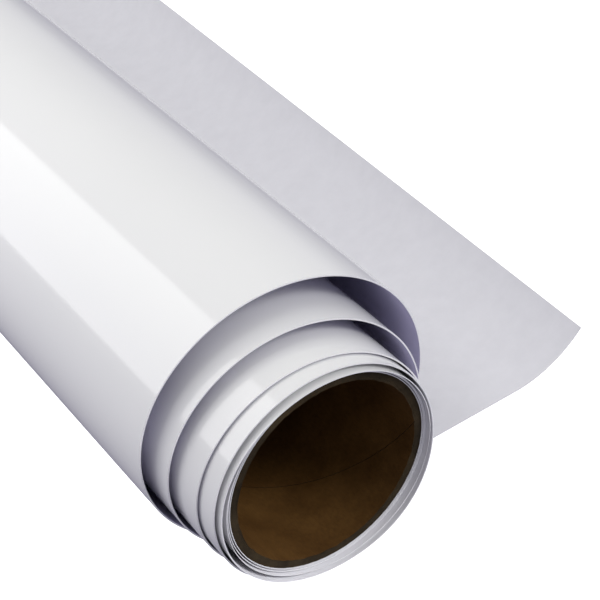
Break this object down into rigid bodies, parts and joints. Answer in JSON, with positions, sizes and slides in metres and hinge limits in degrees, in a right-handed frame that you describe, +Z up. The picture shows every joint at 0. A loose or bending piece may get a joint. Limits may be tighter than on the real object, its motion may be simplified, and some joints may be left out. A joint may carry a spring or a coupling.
{
  "type": "roll of sign vinyl",
  "caption": "Roll of glossy white self-adhesive vinyl on a paperboard core, outer turns loosened and telescoped, tail laid flat with its free end curling up.",
  "frame": {"origin": "under the middle of the whole roll's box, on the surface that it lies on", "axes": "+Y along the roll's axis from the near end to the far end, +X the way the tail leaves the roll, +Z up"},
  "size_m": [0.2196, 0.6458, 0.1133],
  "materials": {
    "film": "glossy calendered film",
    "liner": "matt coated release paper, faintly lavender",
    "wound_web": "tight turns of film and liner, thin layered edges",
    "core_board": "dark brown spiral-wound paperboard, fuzzy cut edge",
    "starter_tape": "plain adhesive tape"
  },
  "bodies": {
    "outer_turn": {"outer_turn_film": "film", "outer_turn_liner": "liner", "tail_root_film": "film", "tail_root_liner": "liner"},
    "second_turn": {"second_turn_film": "film", "second_turn_liner": "liner"},
    "third_turn": {"third_turn_film": "film", "third_turn_liner": "liner"},
    "fourth_turn": {"fourth_turn_film": "film", "fourth_turn_liner": "liner", "tight_turns": "wound_web"},
    "core": {"lead_turn": "wound_web", "starter_tape": "starter_tape", "core_outer_ply": "core_board", "core_body_ply": "core_board", "core_inner_ply": "core_board"},
    "tail": {"tail_film": "film", "tail_liner": "liner"},
    "tail_bend": {"tail_bend_film": "film", "tail_bend_liner": "liner"},
    "tail_lip": {"tail_lip_film": "film", "tail_lip_liner": "liner"},
    "liner_peel": {"peel_tab_liner": "liner"}
  },
  "joints": [
    {"name": "telescope_second", "type": "slide", "parent": "outer_turn", "child": "second_turn", "axis": [0, -1, 0], "range_m": [-0.01, 0.02]},
    {"name": "telescope_third", "type": "slide", "parent": "second_turn", "child": "third_turn", "axis": [0, -1, 0], "range_m": [-0.01, 0.02]},
    {"name": "telescope_fourth", "type": "slide", "parent": "third_turn", "child": "fourth_turn", "axis": [0, -1, 0], "range_m": [-0.01, 0.02]},
    {"name": "core_turn", "type": "hinge", "parent": "fourth_turn", "child": "core", "pos_m": [-0.05281, 0, 0.04897], "axis": [0, 1, 0], "range_deg": [-45, 100]},
    {"name": "tail_lift", "type": "hinge", "parent": "outer_turn", "child": "tail", "pos_m": [-0.01116, 0, 0.00065], "axis": [0, -1, 0], "range_deg": [0, 45], "stiffness_Nm_per_rad": 0.03},
    {"name": "tail_curl", "type": "hinge", "parent": "tail", "child": "tail_bend", "pos_m": [0.06184, 0, 0.00065], "axis": [0, -1, 0], "range_deg": [-8, 25], "stiffness_Nm_per_rad": 0.06, "springref_deg": 2.29},
    {"name": "lip_curl", "type": "hinge", "parent": "tail_bend", "child": "tail_lip", "pos_m": [0.08112, 0, 0.00457], "axis": [0, -1, 0], "range_deg": [-12, 37.5], "stiffness_Nm_per_rad": 0.06, "springref_deg": 1.15},
    {"name": "liner_peel", "type": "hinge", "parent": "tail_lip", "child": "liner_peel", "pos_m": [0.08664, 0, 0.00734], "axis": [0, -1, 0], "range_deg": [0, 110]}
  ],
  "couplings": [
    {"joint": "telescope_third", "follows": "telescope_second", "ratio": 1},
    {"joint": "telescope_fourth", "follows": "telescope_second", "ratio": 1},
    {"joint": "lip_curl", "follows": "tail_curl", "ratio": 1.5}
  ]
}
